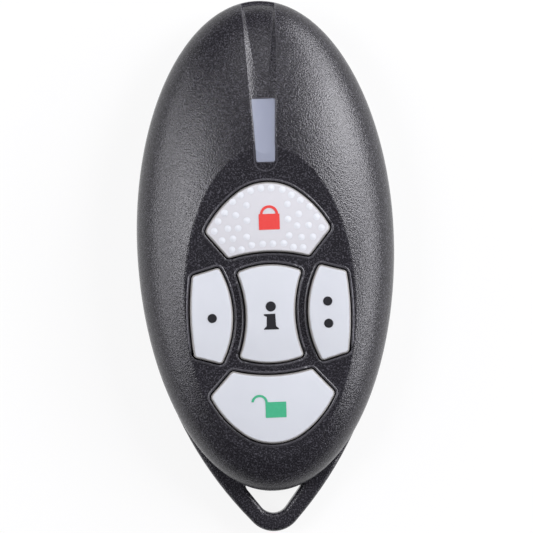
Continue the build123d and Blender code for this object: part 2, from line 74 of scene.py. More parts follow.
def linear(hex_colour: str) -> tuple[float, float, float, float]:
    """Turns an sRGB hex colour to the linear colour that shaders take.

    Args:
        hex_colour: six hex digits, such as "a0b0c0".

    Returns:
        Red, green, blue and an alpha of 1, all linear.
    """
    channels = [int(hex_colour[i:i + 2], 16) / 255 for i in (0, 2, 4)]
    red, green, blue = [c / 12.92 if c <= 0.04045 else ((c + 0.055) / 1.055) ** 2.4 for c in channels]
    return red, green, blue, 1.0


def add_node(tree: bpy.types.NodeTree, kind: str, settings: dict | None = None,
             links: dict | None = None) -> bpy.types.Node:
    """Adds a node with its settings and links.

    Args:
        tree: the material's or world's node tree.
        kind: the node's type name.
        settings: values by attribute name, or by the name or number of an input.
        links: output sockets by the name or number of the input that they feed.

    Returns:
        The new node.
    """
    node = tree.nodes.new(kind)
    for key, value in (settings or {}).items():
        if isinstance(key, str) and hasattr(node, key):
            setattr(node, key, value)
        else:
            node.inputs[key].default_value = value
    for key, output in (links or {}).items():
        tree.links.new(output, node.inputs[key])
    return node


def new_material(name: str) -> tuple[bpy.types.Material, bpy.types.NodeTree, bpy.types.Node]:
    """Makes an empty node material.

    Args:
        name: the material's name.

    Returns:
        The material, its node tree and its output node.
    """
    material = bpy.data.materials.new(name)
    material.use_nodes = True
    tree = material.node_tree
    tree.nodes.clear()
    output = add_node(tree, "ShaderNodeOutputMaterial")
    return material, tree, output


def grain(tree: bpy.types.NodeTree, size_mm: float, detail: float = 2.0, kind: str = "ShaderNodeTexNoise",
          stretch: tuple[float, float, float] = (1.0, 1.0, 1.0)) -> bpy.types.Node:
    """Adds a pattern whose marks have a real size, fixed to the piece.

    Args:
        tree: the material's node tree.
        size_mm: the size of one mark.
        detail: how many finer layers a noise has.
        kind: the texture node's type name.
        stretch: how much longer the marks are along each axis.

    Returns:
        The texture node.
    """
    place = add_node(tree, "ShaderNodeTexCoord")
    scaled = add_node(tree, "ShaderNodeMapping", {"Scale": [1 / (size_mm * MM * s) for s in stretch]},
                      {"Vector": place.outputs["Object"]})
    settings = {"Scale": 1.0}
    if kind == "ShaderNodeTexNoise":
        settings["Detail"] = detail
    return add_node(tree, kind, settings, {"Vector": scaled.outputs["Vector"]})


def mix_colours(tree: bpy.types.NodeTree, share: bpy.types.NodeSocket, first: str | bpy.types.NodeSocket,
                second: str) -> bpy.types.NodeSocket:
    """Mixes two colours.

    Args:
        tree: the material's or world's node tree.
        share: the output that says how much of the second colour there is.
        first: the first colour, as six hex digits or as an output.
        second: the second colour, as six hex digits.

    Returns:
        The mixed colour's output.
    """
    settings = {"data_type": "RGBA", MIX_SECOND: linear(second)}
    links = {MIX_SHARE: share}
    if isinstance(first, str):
        settings[MIX_FIRST] = linear(first)
    else:
        links[MIX_FIRST] = first
    return add_node(tree, "ShaderNodeMix", settings, links).outputs[MIX_RESULT]


def remap(tree: bpy.types.NodeTree, value: bpy.types.NodeSocket, start: float = 0.0, end: float = 1.0,
          low: float = 0.0, high: float = 1.0) -> bpy.types.NodeSocket:
    """Turns a value between start and end into one between low and high, and holds it there beyond them.

    Args:
        tree: the material's node tree.
        value: the value's output.
        start: the value that becomes low.
        end: the value that becomes high.
        low: what start becomes.
        high: what end becomes.

    Returns:
        The new value's output.
    """
    node = add_node(tree, "ShaderNodeMapRange",
                    {"From Min": start, "From Max": end, "To Min": low, "To Max": high}, {"Value": value})
    return node.outputs["Result"]


def relief(tree: bpy.types.NodeTree, height: bpy.types.NodeSocket, depth_mm: float) -> bpy.types.NodeSocket:
    """Turns a pattern of heights into a relief.

    Args:
        tree: the material's node tree.
        height: the pattern's output.
        depth_mm: how deep the relief is where the pattern goes from 1 to 0.

    Returns:
        The output of the normal that follows the relief.
    """
    bump = add_node(tree, "ShaderNodeBump", {"Strength": 1.0, "Distance": depth_mm * MM}, {"Height": height})
    return bump.outputs["Normal"]


def translucence(weight: float, depth_mm: float) -> dict:
    """Gives the shader settings of a plastic that light enters, and in which all colours go equally deep.

    Args:
        weight: the share of the light that enters.
        depth_mm: how deep it goes.

    Returns:
        The settings by input name.
    """
    return {"Subsurface Weight": weight, "Subsurface Radius": (1.0, 1.0, 1.0),
            "Subsurface Scale": depth_mm * MM}


@dataclass(frozen=True)
class Finish:
    """The look that a material has from the way it was made. Each kind adds its own nodes."""

    name: str

    def shader(self, tree: bpy.types.NodeTree) -> bpy.types.NodeSocket:
        """Adds the finish's nodes to a tree and returns its shader's output; each kind has its own."""
        raise NotImplementedError

    def build(self) -> bpy.types.Material:
        """Makes the material.

        Returns:
            The material.
        """
        material, tree, output = new_material(self.name)
        tree.links.new(self.shader(tree), output.inputs["Surface"])
        return material


@dataclass(frozen=True)
class SparkErodedAbs(Finish):
    """Black ABS moulded in a spark-eroded tool: a dull, even grain whose peaks are painted lighter as painted glints.

    Handling has polished its narrow edges, round the key holes and the loop; they are painted lighter as a painted
    highlight.
    The grain is drawn coarser than a real one, whose marks are 0.1 to 0.15 mm wide, so that it shows in a
    small picture.
    """

    name: str = "abs_spark_eroded"
    colour: str = "212024"
    glint_colour: str = "4d4c52"
    edge_highlight_colour: str = "5a595f"
    grain_mm: float = 0.22
    grain_detail: float = 1.5
    cell_share: float = 0.6
    depth_mm: float = 0.038
    glint_start: float = 0.5
    glint_end: float = 0.72
    edge_mm: float = 0.25
    edge_samples: int = 4
    edge_start: float = 0.99
    edge_end: float = 0.9
    roughness: float = 0.25
    edge_polish: float = 0.07
    ior: float = 1.54

    def edge_mask(self, tree: bpy.types.NodeTree) -> bpy.types.NodeSocket:
        """Adds a mask of the narrow edges, where the normal of a rounded surface would lean off the true one.

        Args:
            tree: the material's node tree.

        Returns:
            The output of a value that is 1 on narrow edges and 0 elsewhere.
        """
        rounded = add_node(tree, "ShaderNodeBevel",
                           {"samples": self.edge_samples, "Radius": self.edge_mm * MM})
        true = add_node(tree, "ShaderNodeNewGeometry")
        likeness = add_node(tree, "ShaderNodeVectorMath", {"operation": "DOT_PRODUCT"},
                            {0: rounded.outputs["Normal"], 1: true.outputs["Normal"]})
        return remap(tree, likeness.outputs["Value"], self.edge_start, self.edge_end)

    def shader(self, tree: bpy.types.NodeTree) -> bpy.types.NodeSocket:
        """Adds the finish's nodes.

        Args:
            tree: the material's node tree.

        Returns:
            The shader's output.
        """
        pits = grain(tree, self.grain_mm, self.grain_detail)
        cells = grain(tree, self.grain_mm, kind="ShaderNodeTexVoronoi")
        height = add_node(tree, "ShaderNodeMath", {"operation": "MULTIPLY_ADD", 1: self.cell_share},
                          {0: cells.outputs["Distance"], 2: pits.outputs["Fac"]})
        # The grain's peaks are painted lighter: painted glints where the grain would catch the light.
        painted_glints = remap(tree, pits.outputs["Fac"], self.glint_start, self.glint_end)
        with_painted_glints = mix_colours(tree, painted_glints, self.colour, self.glint_colour)
        edges = self.edge_mask(tree)
        # Narrow edges are painted lighter: a painted highlight.
        colour = mix_colours(tree, edges, with_painted_glints, self.edge_highlight_colour)
        gloss = remap(tree, edges, low=self.roughness, high=self.roughness - self.edge_polish)
        normal = relief(tree, height.outputs["Value"], self.depth_mm)
        shader = add_node(tree, "ShaderNodeBsdfPrincipled", {"IOR": self.ior},
                          {"Base Color": colour, "Roughness": gloss, "Normal": normal})
        return shader.outputs["BSDF"]


@dataclass(frozen=True)
class MilkySilicone(Finish):
    """Compression-moulded silicone under a thin satin coat: white, a little blue, with painted shade where it rounds
    off.

    The coat's grain is drawn coarser than a real one, which is finer than 0.1 mm.
    """

    colour: str = "d2d5d9"
    shade_colour: str = "cbced3"
    rim_shade_colour: str = "8d8b88"
    cloud_mm: float = 6.0
    grain_mm: float = 0.35
    depth_mm: float = 0.004
    rim_start: float = 0.994
    rim_end: float = 0.86
    roughness: float = 0.38
    light_share: float = 0.25
    light_depth_mm: float = 1.1
    ior: float = 1.41

    def shader(self, tree: bpy.types.NodeTree) -> bpy.types.NodeSocket:
        """Adds the finish's nodes.

        Args:
            tree: the material's node tree.

        Returns:
            The shader's output.
        """
        clouds = grain(tree, self.cloud_mm, 1.0)
        body = mix_colours(tree, clouds.outputs["Fac"], self.shade_colour, self.colour)
        facing = add_node(tree, "ShaderNodeNewGeometry")
        upright = add_node(tree, "ShaderNodeSeparateXYZ", None, {"Vector": facing.outputs["Normal"]})
        # Where the normal leans off upright, towards the rounded edges, the silicone is painted darker: painted
        # shade.
        painted_rim_shade = remap(tree, upright.outputs["Z"], self.rim_start, self.rim_end)
        colour = mix_colours(tree, painted_rim_shade, body, self.rim_shade_colour)
        normal = relief(tree, grain(tree, self.grain_mm).outputs["Fac"], self.depth_mm)
        shader = add_node(tree, "ShaderNodeBsdfPrincipled",
                          {"Roughness": self.roughness, "IOR": self.ior,
                           **translucence(self.light_share, self.light_depth_mm)},
                          {"Base Color": colour, "Normal": normal})
        return shader.outputs["BSDF"]


@dataclass(frozen=True)
class FrostedLightGuide(Finish):
    """Injection-moulded polycarbonate with a frosted back: pale blue-grey, smooth, evenly clouded inside."""

    name: str = "polycarbonate_light_guide"
    colour: str = "969baa"
    shade_colour: str = "868b9b"
    cloud_mm: float = 5.0
    cloud_stretch: tuple[float, float, float] = (1.0, 2.0, 1.0)
    frost_mm: float = 0.2
    depth_mm: float = 0.002
    roughness: float = 0.32
    light_share: float = 0.3
    light_depth_mm: float = 0.8
    ior: float = 1.58

    def shader(self, tree: bpy.types.NodeTree) -> bpy.types.NodeSocket:
        """Adds the finish's nodes.

        Args:
            tree: the material's node tree.

        Returns:
            The shader's output.
        """
        clouds = grain(tree, self.cloud_mm, 1.0, stretch=self.cloud_stretch)
        colour = mix_colours(tree, clouds.outputs["Fac"], self.shade_colour, self.colour)
        normal = relief(tree, grain(tree, self.frost_mm, 1.0).outputs["Fac"], self.depth_mm)
        shader = add_node(tree, "ShaderNodeBsdfPrincipled",
                          {"Roughness": self.roughness, "IOR": self.ior,
                           **translucence(self.light_share, self.light_depth_mm)},
                          {"Base Color": colour, "Normal": normal})
        return shader.outputs["BSDF"]


@dataclass(frozen=True)
class MouldedResin(Finish):
    """A moulded, cast or printed resin: one colour that wanders a little, with a skin of fine grain.

    The grain is drawn coarser than a real one, which is finer than 0.1 mm.
    """

    colour: str
    second_colour: str
    roughness: float = 0.5
    grain_mm: float = 0.3
    grain_detail: float = 3.0
    depth_mm: float = 0.01
    ior: float = 1.5

    def shader(self, tree: bpy.types.NodeTree) -> bpy.types.NodeSocket:
        """Adds the finish's nodes.

        Args:
            tree: the material's node tree.

        Returns:
            The shader's output.
        """
        marks = grain(tree, self.grain_mm, self.grain_detail)
        colour = mix_colours(tree, marks.outputs["Fac"], self.colour, self.second_colour)
        normal = relief(tree, marks.outputs["Fac"], self.depth_mm)
        shader = add_node(tree, "ShaderNodeBsdfPrincipled", {"Roughness": self.roughness, "IOR": self.ior},
                          {"Base Color": colour, "Normal": normal})
        return shader.outputs["BSDF"]


@dataclass(frozen=True)
class PlatedMetal(Finish):
    """Rolled or drawn metal under a thin plating: long fine scratches along the rolling direction.

    The scratches are drawn coarser than real ones, which are a few hundredths of a millimetre wide.
    """

    colour: str
    roughness: float = 0.3
    scratch_mm: float = 0.12
    depth_mm: float = 0.003
    stretch: tuple[float, float, float] = (12.0, 1.0, 1.0)
    polish: float = 0.08
    dulling: float = 0.12

    def shader(self, tree: bpy.types.NodeTree) -> bpy.types.NodeSocket:
        """Adds the finish's nodes.

        Args:
            tree: the material's node tree.

        Returns:
            The shader's output.
        """
        scratches = grain(tree, self.scratch_mm, stretch=self.stretch).outputs["Fac"]
        gloss = remap(tree, scratches, low=self.roughness - self.polish, high=self.roughness + self.dulling)
        normal = relief(tree, scratches, self.depth_mm)
        shader = add_node(tree, "ShaderNodeBsdfPrincipled",
                          {"Base Color": linear(self.colour), "Metallic": 1.0},
                          {"Roughness": gloss, "Normal": normal})
        return shader.outputs["BSDF"]


def dress(node: str, material: bpy.types.Material) -> None:
    """Gives a carried-over piece its finish.

    Args:
        node: the piece's node name.
        material: the finish.
    """
    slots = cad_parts[node].data.materials
    slots.clear()
    slots.append(material)


def new_piece(name: str, mesh: bmesh.types.BMesh, material: bpy.types.Material, body: str | None) -> bpy.types.Object:
    """Makes a visible piece from a finished mesh and lets it ride on a body.

    Args:
        name: the piece's name.
        mesh: its mesh, in metres in the part's frame; it is freed.
        material: its finish.
        body: the body that it moves with, or None for a piece that rides on no body.

    Returns:
        The piece.
    """
    bmesh.ops.recalc_face_normals(mesh, faces=mesh.faces)
    data = bpy.data.meshes.new(name)
    mesh.to_mesh(data)
    mesh.free()
    data.materials.append(material)
    piece = bpy.data.objects.new(name, data)
    bpy.context.scene.collection.objects.link(piece)
    if body:
        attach(piece, body)
    log.info("%s: %d faces on %s", name, len(data.polygons), body or "two bodies")
    return piece


def shade_smooth(mesh: bmesh.types.BMesh) -> None:
    """Lets all of a mesh's faces run into each other without an edge.

    Args:
        mesh: the mesh.
    """
    for face in mesh.faces:
        face.smooth = True


def bridge(mesh: bmesh.types.BMesh, first: list[bmesh.types.BMVert],
           second: list[bmesh.types.BMVert]) -> None:
    """Adds the faces between two closed rings of the same number of vertices.

    Args:
        mesh: the mesh.
        first: one ring.
        second: the other ring.
    """
    for side in range(len(first)):
        other = (side + 1) % len(first)
        mesh.faces.new((first[side], first[other], second[other], second[side]))


def surface_of(node: str) -> BVHTree:
    """Makes a tree of a piece's faces, for finding its surface.

    Args:
        node: the piece's node name.

    Returns:
        The tree.
    """
    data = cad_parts[node].data
    return BVHTree.FromPolygons([v.co for v in data.vertices], [p.vertices for p in data.polygons])


def seen_from_above(tree: BVHTree, x: float, y: float) -> tuple[Vector, Vector]:
    """Finds the point of a piece that is seen at a place from straight above.

    Args:
        tree: the piece's faces.
        x: the place across the fob, in metres.
        y: the place along the fob, in metres.

    Returns:
        The point and the surface's normal there.
    """
    point, normal, _, _ = tree.ray_cast(Vector((x, y, ABOVE)), Vector((0, 0, -1)))
    return point, normal


def arc(centre: Point, radius: float, start: float, end: float, steps: int = 24) -> Outline:
    """Gives points on an arc.

    Args:
        centre: the arc's centre.
        radius: its radius.
        start: its first angle, anticlockwise from +X.
        end: its last angle.
        steps: how many stretches it has.

    Returns:
        The points in order.
    """
    angles = [math.radians(start + (end - start) * i / steps) for i in range(steps + 1)]
    return [(centre[0] + radius * math.cos(a), centre[1] + radius * math.sin(a)) for a in angles]


def disc(centre: Point, radius: float, sides: int = 40) -> Outline:
    """Gives the outline of a disc.

    Args:
        centre: its centre.
        radius: its radius.
        sides: how many points it has.

    Returns:
        The outline.
    """
    return arc(centre, radius, 0, 360, sides)[:-1]


def rounded_box(low: Point, high: Point, corner: float, steps: int = 5) -> Outline:
    """Gives the outline of a rectangle with rounded corners.

    Args:
        low: its lower left corner.
        high: its upper right corner.
        corner: the radius of its corners.
        steps: how many stretches each corner has.

    Returns:
        The outline.
    """
    (left, bottom), (right, top) = low, high
    places = [(right - corner, top - corner, 0), (left + corner, top - corner, 90),
              (left + corner, bottom + corner, 180), (right - corner, bottom + corner, 270)]
    return [point for x, y, turn in places for point in arc((x, y), corner, turn, turn + 90, steps)]


def band(centre: Point, radius: float, line: float, start: float, end: float) -> Outline:
    """Gives the outline of a curved stroke.

    Args:
        centre: the curve's centre.
        radius: the radius of the stroke's outer edge.
        line: the stroke's width.
        start: its first angle, anticlockwise from +X.
        end: its last angle.

    Returns:
        The outline.
    """
    return arc(centre, radius, start, end) + arc(centre, radius - line, end, start)


class Ink(Enum):
    """The printing inks on the keys: each one's name, its colour and the shade that it wanders to."""

    RED = ("red", "dd403c", "e04e4a")
    GREEN = ("green", "3ea57a", "4cb087")
    BLACK = ("black", "1c1c20", "252529")

    def build(self) -> bpy.types.Material:
        """Makes the ink's material."""
        label, colour, second_colour = self.value
        return MouldedResin(f"pad_printed_ink_{label}", colour, second_colour,
                            roughness=0.42, grain_mm=0.4, depth_mm=0.004).build()


@dataclass(frozen=True)
class Sign:
    """A sign that is printed on a key: outlines in millimetres, seen from above."""

    name: str
    key: str
    ink: Ink
    outlines: tuple[Outline, ...]


@dataclass
class KeySigns:
    """Draws the five keys' signs, all in millimetres, and prints them on the keys' crowns."""

    print_mm: float = 0.03
    sink_mm: float = 0.01
    padlock_middle: Point = (0.2, 6.5)
    padlock_half_width: float = 1.52
    padlock_half_height: float = 1.15
    box_corner: float = 0.08
    shackle_radius: float = 1.33
    shackle_line: float = 0.38
    shackle_arc: float = 180
    open_padlock_middle: Point = (0.36, -20.98)
    open_shackle_radius: float = 1.2
    open_shackle_line: float = 0.34
    open_shackle_arc: float = 172
    letter_x: float = 0.05
    letter_dot_y: float = -5.85
    letter_dot_radius: float = 0.74
    letter_top: float = -6.95
    letter_top_rise: float = 0.03
    letter_foot: float = -9.22
    top_serif_reach: float = 1.05
    foot_serif_reach: float = 1.1
    serif: float = 0.26
    top_serif_slope: float = 1.6
    top_serif_edge: float = 1.5
    stem_half_width: float = 0.62
    stem_foot_half_width: float = 0.68
    left_dot: Point = (-8.55, -7.3)
    right_dots: tuple[Point, Point] = ((8.4, -5.35), (8.45, -8.6))
    dot_radius: float = 0.67

    def padlock_body(self, middle: Point) -> Outline:
        """Gives the outline of a padlock's body.

        Args:
            middle: the body's middle.

        Returns:
            The outline.
        """
        x, y = middle
        low = (x - self.padlock_half_width, y - self.padlock_half_height)
        high = (x + self.padlock_half_width, y + self.padlock_half_height)
        return rounded_box(low, high, self.box_corner)

    def closed_padlock(self) -> tuple[Outline, ...]:
        """Draws a closed padlock.

        Returns:
            The outlines of its body and its shackle.
        """
        x, y = self.padlock_middle
        top = (x, y + self.padlock_half_height - self.box_corner)
        shackle = band(top, self.shackle_radius, self.shackle_line, 0, self.shackle_arc)
        return self.padlock_body(self.padlock_middle), shackle

    def open_padlock(self) -> tuple[Outline, ...]:
        """Draws a padlock whose shackle is swung out.

        Returns:
            The outlines of its body and its shackle.
        """
        x, y = self.open_padlock_middle
        hinge_x = x - self.padlock_half_width + self.open_shackle_line
        top = (hinge_x - self.open_shackle_radius, y + self.padlock_half_height - self.box_corner)
        shackle = band(top, self.open_shackle_radius, self.open_shackle_line, 0, self.open_shackle_arc)
        return self.padlock_body(self.open_padlock_middle), shackle

    def letter(self) -> tuple[Outline, ...]:
        """Draws the letter of an information sign.

        Returns:
            The outlines of its dot and of its stem with slab serifs.
        """
        x, top, foot, serif = self.letter_x, self.letter_top, self.letter_foot, self.serif
        cap, slab = self.top_serif_reach, self.foot_serif_reach
        upper, lower = self.stem_half_width, self.stem_foot_half_width
        stem = [
            (x - cap, top), (x + upper, top + self.letter_top_rise), (x + lower, foot + 2 * serif),
            (x + slab, foot + serif / 2), (x + slab, foot), (x - slab, foot), (x - slab, foot + serif / 2),
            (x - lower, foot + 2 * serif), (x - upper, top - self.top_serif_slope * serif),
            (x - cap, top - serif / self.top_serif_edge),
        ]
        return disc((x, self.letter_dot_y), self.letter_dot_radius), stem

    def dots(self, *centres: Point) -> tuple[Outline, ...]:
        """Gives the outlines of a key's dots, one round each centre."""
        return tuple(disc(centre, self.dot_radius) for centre in centres)

    def signs(self) -> list[Sign]:
        """Lists the signs.

        Returns:
            A sign for each key.
        """
        return [
            Sign("sign_closed_padlock", "lock", Ink.RED, self.closed_padlock()),
            Sign("sign_open_padlock", "unlock", Ink.GREEN, self.open_padlock()),
            Sign("sign_information", "info", Ink.BLACK, self.letter()),
            Sign("sign_one_dot", "one_dot", Ink.BLACK, self.dots(self.left_dot)),
            Sign("sign_two_dots", "two_dots", Ink.BLACK, self.dots(*self.right_dots)),
        ]

    def print_outline(self, mesh: bmesh.types.BMesh, surface: BVHTree, outline: Outline) -> None:
        """Adds one thin printed shape that follows the key.

        Args:
            mesh: the sign's mesh.
            surface: the key's faces.
            outline: the shape.
        """
        under, over = [], []
        for ring, lift in ((under, -self.sink_mm), (over, self.print_mm)):
            for x, y in outline:
                point, _ = seen_from_above(surface, x * MM, y * MM)
                ring.append(mesh.verts.new((x * MM, y * MM, point.z + lift * MM)))
        for triangle in tessellate_polygon([[Vector((x, y, 0)) for x, y in outline]]):
            for ring in (under, over):
                mesh.faces.new([ring[i] for i in triangle])
        bridge(mesh, under, over)

    def build(self) -> None:
        """Makes the signs."""
        inks = {ink: ink.build() for ink in Ink}
        for sign in self.signs():
            mesh = bmesh.new()
            surface = surface_of(f"key_{sign.key}")
            for outline in sign.outlines:
                self.print_outline(mesh, surface, outline)
            new_piece(sign.name, mesh, inks[sign.ink], f"{sign.key}_key")


@dataclass
class UpperKeyBumps:
    """The low round bumps that let a thumb find the upper key, moulded in one with it."""

    radius_mm: float = 0.55
    rise_mm: float = 0.06
    sink_mm: float = 0.004
    flare: float = 1.5
    rings: int = 6
    sides: int = 16
    shift_x: float = -0.35
    places: tuple[Point, ...] = (
        (-0.5, 11.4), (1.0, 11.4), (-2.0, 11.1), (2.6, 11.1), (-3.5, 10.5), (3.9, 10.3), (-4.7, 9.6),
        (5.2, 9.5), (-5.9, 8.0), (6.5, 8.5), (-6.9, 6.8), (7.5, 7.0), (-7.5, 5.4), (8.2, 5.4),
        (-2.7, 9.0), (3.3, 9.0), (-4.3, 7.6), (4.9, 7.5), (-2.7, 6.8), (3.3, 6.8), (-5.5, 5.7), (-4.0, 5.7),
        (4.6, 5.8), (6.3, 5.8), (-6.4, 4.0), (-4.8, 4.2), (-2.8, 4.4), (3.4, 4.4), (5.2, 4.1), (6.9, 4.1),
        (-5.0, 2.6), (-3.6, 2.6), (-2.1, 3.2), (-0.5, 3.3), (1.0, 3.3), (2.6, 3.3), (4.0, 2.7), (5.4, 2.6),
    )

    def add_bump(self, mesh: bmesh.types.BMesh, surface: BVHTree, place: Point) -> None:
        """Adds one bump that flows into the key all round.

        Args:
            mesh: the bumps' mesh.
            surface: the key's faces.
            place: the bump's middle.
        """
        x, y = place[0] + self.shift_x, place[1]
        middle, _ = seen_from_above(surface, x * MM, y * MM)
        tip = mesh.verts.new((x * MM, y * MM, middle.z + self.rise_mm * MM))
        last = None
        for ring in range(1, self.rings + 1):
            reach = self.radius_mm * ring / self.rings
            rise = self.rise_mm * math.cos(math.pi / 2 * ring / self.rings) ** self.flare
            verts = []
            for side in range(self.sides):
                angle = 2 * math.pi * side / self.sides
                px = (x + reach * math.cos(angle)) * MM
                py = (y + reach * math.sin(angle)) * MM
                point, _ = seen_from_above(surface, px, py)
                verts.append(mesh.verts.new((px, py, point.z + (rise - self.sink_mm) * MM)))
            if last:
                bridge(mesh, last, verts)
            else:
                for side in range(self.sides):
                    mesh.faces.new((tip, verts[side], verts[(side + 1) % self.sides]))
            last = verts

    def build(self, material: bpy.types.Material) -> None:
        """Makes the bumps.

        Args:
            material: a lighter copy of the key's silicone, which paints a highlight on the bumps.
        """
        mesh = bmesh.new()
        surface = surface_of("key_lock")
        for place in self.places:
            self.add_bump(mesh, surface, place)
        shade_smooth(mesh)
        new_piece("upper_key_bumps", mesh, material, "lock_key")


def flat_loops(node: str, x: float, y: float) -> tuple[list[list[Vector]], Vector]:
    """Finds the edges of the flat face that is seen at a place from above, its holes' among them.

    Args:
        node: the piece's node name.
        x: the place across the fob, in metres.
        y: the place along the fob, in metres.

    Returns:
        The closed rows of points round the face and its holes, and the face's normal.
    """
    spot, normal = seen_from_above(surface_of(node), x, y)
    mesh = bmesh.new()
    mesh.from_mesh(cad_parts[node].data)
    elsewhere = [face for face in mesh.faces
                 if any(abs((v.co - spot).dot(normal)) > FLAT_WITHIN for v in face.verts)]
    bmesh.ops.delete(mesh, geom=elsewhere, context="FACES")
    bmesh.ops.remove_doubles(mesh, verts=mesh.verts, dist=SAME_WITHIN)
    # A dict keeps the edges in the mesh's order, where a set would give another order at each run.
    open_edges = dict.fromkeys(edge for edge in mesh.edges if edge.is_boundary)
    loops = []
    while open_edges:
        edge, _ = open_edges.popitem()
        first, last = edge.verts
        loop = [first.co.copy()]
        while last is not first:
            loop.append(last.co.copy())
            edge = next(e for e in last.link_edges if e in open_edges)
            del open_edges[edge]
            last = edge.other_vert(last)
        loops.append(loop)
    mesh.free()
    return loops, normal


@dataclass
class KeyHoleLips:
    """The narrow rounded lip that is moulded round each key hole and catches the side light."""

    floor_spot: Point = (0.3, 13.0)
    radius_mm: float = 0.2
    from_key_mm: float = 0.38
    sink_mm: float = 0.08
    reach_mm: float = 0.9
    sides: int = 12

    def add_lip(self, mesh: bmesh.types.BMesh, loop: list[Vector], normal: Vector,
                keys: list[BVHTree]) -> None:
        """Adds the lip along those parts of a loop that have a key beside them.

        Args:
            mesh: the lips' mesh.
            loop: the points round a hole or round the whole floor.
            normal: the keypad floor's normal.
            keys: the faces of each key.
        """
        angles = [2 * math.pi * side / self.sides for side in range(self.sides)]
        rings = []
        for i, point in enumerate(loop):
            nearest, _, _, gap = min((key.find_nearest(point) for key in keys), key=lambda hit: hit[3])
            if gap >= self.reach_mm * MM:
                rings.append([])
                continue
            across = normal.cross(loop[(i + 1) % len(loop)] - loop[i - 1]).normalized()
            across *= math.copysign(1, across.dot(nearest - point))
            middle = point + across * (gap - self.from_key_mm * MM) - normal * self.sink_mm * MM
            spokes = [across * math.cos(a) + normal * math.sin(a) for a in angles]
            rings.append([mesh.verts.new(middle + spoke * self.radius_mm * MM) for spoke in spokes])
        for i, ring in enumerate(rings):
            if rings[i - 1] and ring:
                bridge(mesh, rings[i - 1], ring)

    def build(self, material: bpy.types.Material) -> None:
        """Makes the lips.

        Args:
            material: a lighter copy of the casing's plastic, which paints a highlight on the lips.
        """
        loops, normal = flat_loops("top_cover", self.floor_spot[0] * MM, self.floor_spot[1] * MM)
        keys = [surface_of(f"key_{key}") for key in KEYS]
        mesh = bmesh.new()
        for loop in loops:
            self.add_lip(mesh, loop, normal, keys)
        shade_smooth(mesh)
        new_piece("key_hole_lips", mesh, material, "casing")


@dataclass
class Casing:
    """The two covers, the light window and the screws."""

    covers: tuple[str, ...] = ("top_cover", "rear_cover")
    lips: KeyHoleLips = field(default_factory=KeyHoleLips)

    def build(self) -> None:
        """Dresses the casing's pieces and makes the lips of the key holes."""
        abs_plastic = SparkErodedAbs().build()
        for node in self.covers:
            dress(node, abs_plastic)
        # The lips get a lighter, glossier copy of the casing's plastic: the lighter colour is a painted highlight.
        polished_lip_painted_lighter = SparkErodedAbs("abs_polished_lip_painted_lighter", "3a393d", "5c5b60", depth_mm=0.015, roughness=0.2)
        self.lips.build(polished_lip_painted_lighter.build())
        dress("light_window", FrostedLightGuide().build())
        dress("case_screws", PlatedMetal("steel_zinc_plated", "8d8f93", 0.38).build())
        log.info("casing dressed")


@dataclass
class WebSkirt:
    """The thin sloped silicone wall under a key, which folds as the key goes down and springs it back."""

    key: str

    def build(self, material: bpy.types.Material) -> None:
        """Makes the skirt from a copy of the web's mesh, which rides on no body, and hides the web.

        Args:
            material: the keypad's silicone.
        """
        mesh = bmesh.new()
        mesh.from_mesh(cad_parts[f"web_{self.key}"].data)
        piece = new_piece(f"web_skirt_{self.key}", mesh, material, None)
        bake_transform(piece)
        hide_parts(f"web_{self.key}")


@dataclass
class Keypad:
    """The keys with their signs and bumps, and the silicone and carbon pieces under them."""

    signs: KeySigns = field(default_factory=KeySigns)
    bumps: UpperKeyBumps = field(default_factory=UpperKeyBumps)

    def build(self) -> None:
        """Dresses the keys and makes what is on them."""
        silicone = MilkySilicone("silicone_milky").build()
        upper = MilkySilicone("silicone_milky_upper", colour="d3d3d6", shade_colour="cfcfd2").build()
        # The bumps are moulded in one with the key but get a lighter copy of its silicone: a painted highlight.
        clear = MilkySilicone("silicone_milky_bumps_painted_lighter", colour="e1e4e8", shade_colour="dde0e5",
                              rim_shade_colour="dcdde2").build()
        carbon = MouldedResin("carbon_filled_rubber", "141416", "1c1c1f", roughness=0.7).build()
        for key in KEYS:
            dress(f"key_{key}", upper if key == "lock" else silicone)
            WebSkirt(key).build(silicone)
            dress(f"pill_{key}", carbon)
        dress("keypad_mat", silicone)
        self.bumps.build(clear)
        self.signs.build()
        log.info("keypad dressed")


@dataclass
class Electronics:
    """The circuit board, what is soldered to it, and the coin cell in its holder."""

    finishes: dict[Finish, tuple[str, ...]] = field(default_factory=lambda: {
        MouldedResin("glass_epoxy_green_resist", "1d5a38", "236541", roughness=0.35): ("circuit_board",),
        PlatedMetal("copper_gold_flashed", "d9b46a", 0.28): ("contact_pads",),
        PlatedMetal("copper_tinned", "c9c8c4", 0.34): ("antenna_strip",),
        MouldedResin("led_clear_resin", "e9e9df", "f2f2ea", roughness=0.15): ("status_led", "backlight_leds"),
        MouldedResin("epoxy_moulding_compound", "232326", "2c2c30", roughness=0.6):
            ("controller_chip", "radio_chip"),
        PlatedMetal("steel_nickel_plated", "c4c5c8", 0.25):
            ("crystal", "cell_can", "cell_cap", "positive_clip", "negative_leaf"),
        MouldedResin("alumina_glazed", "3a3b40", "46474d", roughness=0.3): ("chip_resistors",),
        MouldedResin("ceramic_fired_tan", "b09370", "bb9f7d", roughness=0.45): ("chip_capacitors",),
        MouldedResin("polyamide_black", "232325", "2b2b2e", roughness=0.55): ("sounder", "battery_holder"),
        MouldedResin("polyamide_natural", "d5d2c4", "dedbce", roughness=0.5): ("cell_gasket",),
    })

    def build(self) -> None:
        """Dresses the pieces inside the casing."""
        for finish, nodes in self.finishes.items():
            material = finish.build()
            for node in nodes:
                dress(node, material)
        log.info("electronics dressed")


